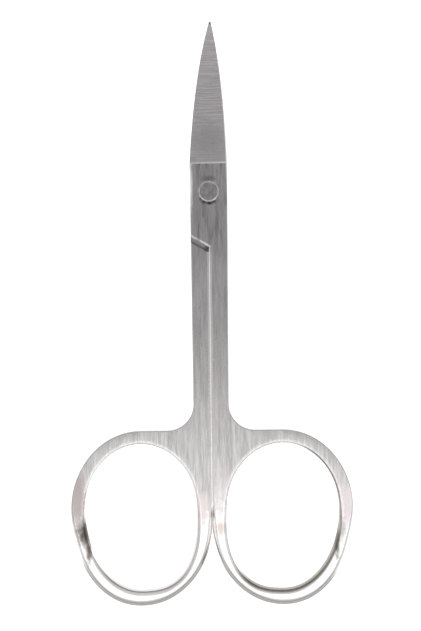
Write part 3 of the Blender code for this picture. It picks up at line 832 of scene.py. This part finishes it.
def steel(name, brushing, slope=None, polish=None, corner=0, dull=None, smudges=()):
    """Steel brushed along its grain, with marks in colour, roughness and height.

    With a slope finish it takes that finish's tone where the finish says, and with a painted dark reflection
    it takes that painted shade on what is steep. With polish it is worn in streaks round the rivet, and loses
    its marks and turns bright towards the ring's bottom. With a corner, the side 1 or -1 that its shoulder is
    on, it is rubbed plain round the rivet and darker by the shoulder, a painted shade.
    """
    material = bpy.data.materials.new(name)
    material.use_nodes = True
    tree = material.node_tree
    shader = tree.nodes["Principled BSDF"]
    shader.inputs["Metallic"].default_value = 1.0
    place = node(tree, "ShaderNodeTexCoord").outputs["Object"]
    parts = node(tree, "ShaderNodeSeparateXYZ", {0: place}).outputs
    tone = brushing.tone

    coarse = marks(tree, place, brushing.length, brushing.width, brushing.grain)
    fine = marks(tree, place, brushing.length / FINER, brushing.width / FINER, brushing.grain, detail=1.0)
    height = blend_values(tree, FINE_SHARE, coarse, fine)
    bright = ramp(tree, height, *MARK_NOISE)
    colour = blend_colours(tree, bright, darker(tone, 1 - brushing.contrast), tone)
    patches = ramp(tree, blotches(tree, place, PATCH_SIZE), *PATCH_NOISE)
    colour = blend_colours(tree, times(tree, patches, PATCH_SHARE), colour, darker(tone, PATCH_LIGHT))
    roughest = brushing.roughness * (1 + ROUGHNESS_SPREAD)
    smoothest = brushing.roughness * (1 - ROUGHNESS_SPREAD)
    rough = ramp(tree, fine, *MARK_NOISE, roughest, smoothest)
    strength = 1.0

    if slope:
        sloping = slope_share(tree, slope.start, slope.end)
        colour = blend_colours(tree, sloping, colour, slope.tone)
        strength = ramp(tree, sloping, 0.0, 1.0, 1.0, SLOPE_STRENGTH)
    if corner:
        rubbed = ramp(tree, parts["Y"], RUBBED_REACH + RUBBED_FADE, RUBBED_REACH)
        colour = blend_colours(tree, rubbed, colour, tone)
        # painted shade in the corner by the shoulder
        colour = blend_colours(tree, painted_corner_shade(tree, parts, corner), colour, darker(tone, CORNER_SHADE_LIGHT))
    if polish:
        colour = blend_colours(tree, wear_share(tree, place, parts), colour, darker(tone, WEAR_LIGHT))
        polished = polish_share(tree, place, parts, polish)
        colour = blend_colours(tree, polished, colour, POLISHED_TONE)
        colour = blend_colours(tree, stain_share(tree, place, polished), colour, STAINED_TONE)
        rough = blend_values(tree, polished, rough, POLISHED_ROUGHNESS)
        strength = times(tree, strength, ramp(tree, polished, 0.0, 1.0, 1.0, POLISHED_STRENGTH))
    # painted dark reflection: painted shade on what is steep
    if dull:
        colour = blend_colours(tree, painted_dark_share(tree, parts, dull), colour, dull.tone)
    # patches of stain and dirt, and of painted shade and highlight
    for smudge in smudges:
        colour = blend_colours(tree, stain_and_painted_light_share(tree, place, smudge), colour, smudge.tone)

    bump = node(tree, "ShaderNodeBump", {"Height": height, "Strength": strength, "Distance": brushing.depth})
    tree.links.new(colour, shader.inputs["Base Color"])
    tree.links.new(rough, shader.inputs["Roughness"])
    tree.links.new(bump.outputs["Normal"], shader.inputs["Normal"])
    return material


def half_finishes(name, look):
    """A half's finishes by name: those of its outside, its blade's outer face and its inner faces."""
    # painted dark reflection on the steep outer sides, lighter on their edge rows
    side_dull = Dull(PAINTED_DARK_TONE, look.side_dull, PAINTED_DARK_LENGTH, PAINTED_DARK_FALL, None, PAINTED_DARK_STEEP)
    edge_painted_dark = side_dull._replace(tone=PAINTED_DARK_EDGE_TONE)
    kinds = {
        "flat": {"brushing": FLAT_BRUSHING, "polish": look.polish},
        "edge": {"brushing": EDGE_BRUSHING, "polish": EDGE_POLISH, "dull": edge_painted_dark},
        "bar": {"brushing": FLAT_BRUSHING, "slope": BUFFED, "polish": look.polish, "dull": look.wall},
        "chamfer": {"brushing": CHAMFER_BRUSHING, "polish": CHAMFER_POLISH},
        "side": {"brushing": SIDE_BRUSHING, "polish": EDGE_POLISH, "dull": side_dull},
        "blade": {"brushing": BLADE_GRINDING, "slope": HEEL_RAMP},
        "inner": {"brushing": INNER_GRINDING, "corner": -look.side},
    }
    return {part: steel(f"{name}_{part}", smudges=look.smudges, **kind) for part, kind in kinds.items()}


def make_half(name, outline, finishes):
    """One half, lying as the front half does."""
    half = rimmed_plate(name, outline, [finishes[part] for part in SKIN])
    cutters = [
        lap_cutter(finishes["inner"]),
        grind_cutter(finishes["blade"]),
        hollow_cutter(finishes["inner"]),
        bore_cutter(finishes["inner"]),
    ]
    carve(half, cutters)
    return half


def turn_over(obj):
    """Turn a piece half a turn about the long axis, so that its two faces change places."""
    turned = Matrix.Translation((0, 0, THICKNESS)) @ Matrix.Rotation(math.pi, 4, "Y")
    obj.data.transform(turned)


def make_rivet():
    """The rivet, closed over at both ends and ground flush with both faces, with a bright rim."""
    flat = RIVET_HEAD_RADIUS - RIVET_RIM_WIDTH
    lower = [
        (0, 0),
        (flat, 0),
        (RIVET_HEAD_RADIUS, RIVET_RIM_DROP),
        (RIVET_HEAD_RADIUS, RIVET_HEAD_DEPTH),
        (RIVET_SHANK_RADIUS, RIVET_HEAD_DEPTH),
    ]
    upper = [(radius, THICKNESS - z) for radius, z in reversed(lower)]
    rivet = lathe("rivet", lower + upper, steel("rivet_end", RIVET_BRUSHING))
    # its rim takes painted shadow on the lower side
    rivet.data.materials.append(steel("rivet_rim", RIVET_RIM_BRUSHING, smudges=RIVET_PAINTED_SHADE))
    for polygon in rivet.data.polygons:
        if abs(polygon.normal.z) < UPRIGHT:
            polygon.material_index = 1
    return rivet


def dress(piece, node_name, body):
    """Let a finished piece stand for its CAD node and ride on the node's body."""
    shade(piece)
    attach(piece, body)
    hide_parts(node_name)


def make_scissors():
    """Both halves and the rivet, each with its finishes."""
    front_outline = half_outline(SPINE_BEND, EDGE_BEND, TIP_OFFSET)
    back_outline = half_outline(EDGE_BEND, SPINE_BEND, -TIP_OFFSET)
    front = make_half("front", front_outline, half_finishes("front", FRONT_LOOK))
    back = make_half("back", back_outline, half_finishes("back", BACK_LOOK))
    turn_over(back)
    rivet = make_rivet()
    dress(front, "front_half", "front")
    dress(back, "back_half", "back")
    dress(rivet, "pivot_rivet", "back")


def make_floor():
    """A plain pale floor, just under the scissors."""
    bm = bmesh.new()
    half = FLOOR_SIZE / 2
    corners = [(-half, -half), (half, -half), (half, half), (-half, half)]
    bm.faces.new([bm.verts.new((x, y, -FLOOR_DROP)) for x, y in corners])
    material = bpy.data.materials.new("floor_paper")
    material.use_nodes = True
    tree = material.node_tree
    shader = tree.nodes["Principled BSDF"]
    shader.inputs["Roughness"].default_value = FLOOR_ROUGHNESS
    shader.inputs["Specular IOR Level"].default_value = FLOOR_SHEEN
    place = node(tree, "ShaderNodeTexCoord").outputs["Object"]
    fibres = ramp(tree, blotches(tree, place, FIBRE_SIZE), *FIBRE_NOISE)
    colour = blend_colours(tree, fibres, darker(FLOOR_TONE, FIBRE_LIGHT), FLOOR_TONE)
    tree.links.new(colour, shader.inputs["Base Color"])
    shader.inputs["Emission Color"].default_value = WHITE
    shader.inputs["Emission Strength"].default_value = FLOOR_GLOW
    new_object("floor", bm, [material])


def make_light_tent():
    """Walls that get lighter upwards, a dimmer ceiling, and a dark horizon, mostly beyond the tips."""
    world = bpy.data.worlds.new("light_tent")
    world.use_nodes = True
    bpy.context.scene.world = world
    tree = world.node_tree
    direction = node(tree, "ShaderNodeTexCoord").outputs["Generated"]
    parts = node(tree, "ShaderNodeSeparateXYZ", {0: direction}).outputs

    across = times(tree, parts["X"], math.cos(HORIZON_TURN))
    along = times(tree, parts["Y"], math.sin(HORIZON_TURN))
    away = ramp(tree, sum_of(tree, across, along), *HORIZON_ENDS)
    foot = ramp(tree, magnitude(tree, parts["X"]), *SIDE_ENDS, LOW_LIGHT, SIDE_LIGHT)
    horizon = blend_values(tree, away, foot, HORIZON_LIGHT)
    low = blend_values(tree, ramp(tree, parts["Z"], *HORIZON_HEIGHTS), horizon, foot)
    high = ramp(tree, parts["Y"], *WALL_ENDS, RING_WALL_LIGHT, TIP_WALL_LIGHT)
    wall = blend_values(tree, ramp(tree, parts["Z"], *WALL_HEIGHTS), low, high)

    upward = times(tree, parts["Z"], math.cos(CEILING_LEAN))
    leaning = times(tree, parts["Y"], -math.sin(CEILING_LEAN))
    overhead = ramp(tree, sum_of(tree, upward, leaning), *CEILING_ENDS)
    light = blend_values(tree, overhead, wall, CEILING_LIGHT)
    background = tree.nodes["Background"]
    background.inputs["Color"].default_value = WHITE
    tree.links.new(light, background.inputs["Strength"])


def hang_softbox(box):
    """A soft light that shines straight down and isn't seen itself."""
    light = bpy.data.lights.new(box.name, "AREA")
    light.shape = "RECTANGLE"
    light.size = box.width
    light.size_y = box.length
    light.energy = box.radiance * math.pi * box.width * box.length
    obj = bpy.data.objects.new(box.name, light)
    obj.location = box.middle
    obj.visible_camera = False
    bpy.context.scene.collection.objects.link(obj)


def make_lights():
    """The tent and two softboxes: one over the finger rings, one beyond the tips."""
    make_light_tent()
    for box in SOFTBOXES:
        hang_softbox(box)


def make_camera():
    """A long lens straight above the scissors."""
    data = bpy.data.cameras.new("camera")
    data.lens = LENS
    data.sensor_width = SENSOR
    data.clip_start = CLIP_START
    data.clip_end = CLIP_END
    camera = bpy.data.objects.new("camera", data)
    height = SHARP_HEIGHT + FRAME_HEIGHT * LENS / SENSOR
    camera.location = (FRAME_CENTRE.x, FRAME_CENTRE.y, height)
    camera.rotation_euler = (0.0, 0.0, FRAME_TURN)
    bpy.context.scene.collection.objects.link(camera)
    bpy.context.scene.camera = camera


make_scissors()
make_floor()
make_lights()
make_camera()
bpy.context.scene.view_settings.view_transform = "Standard"
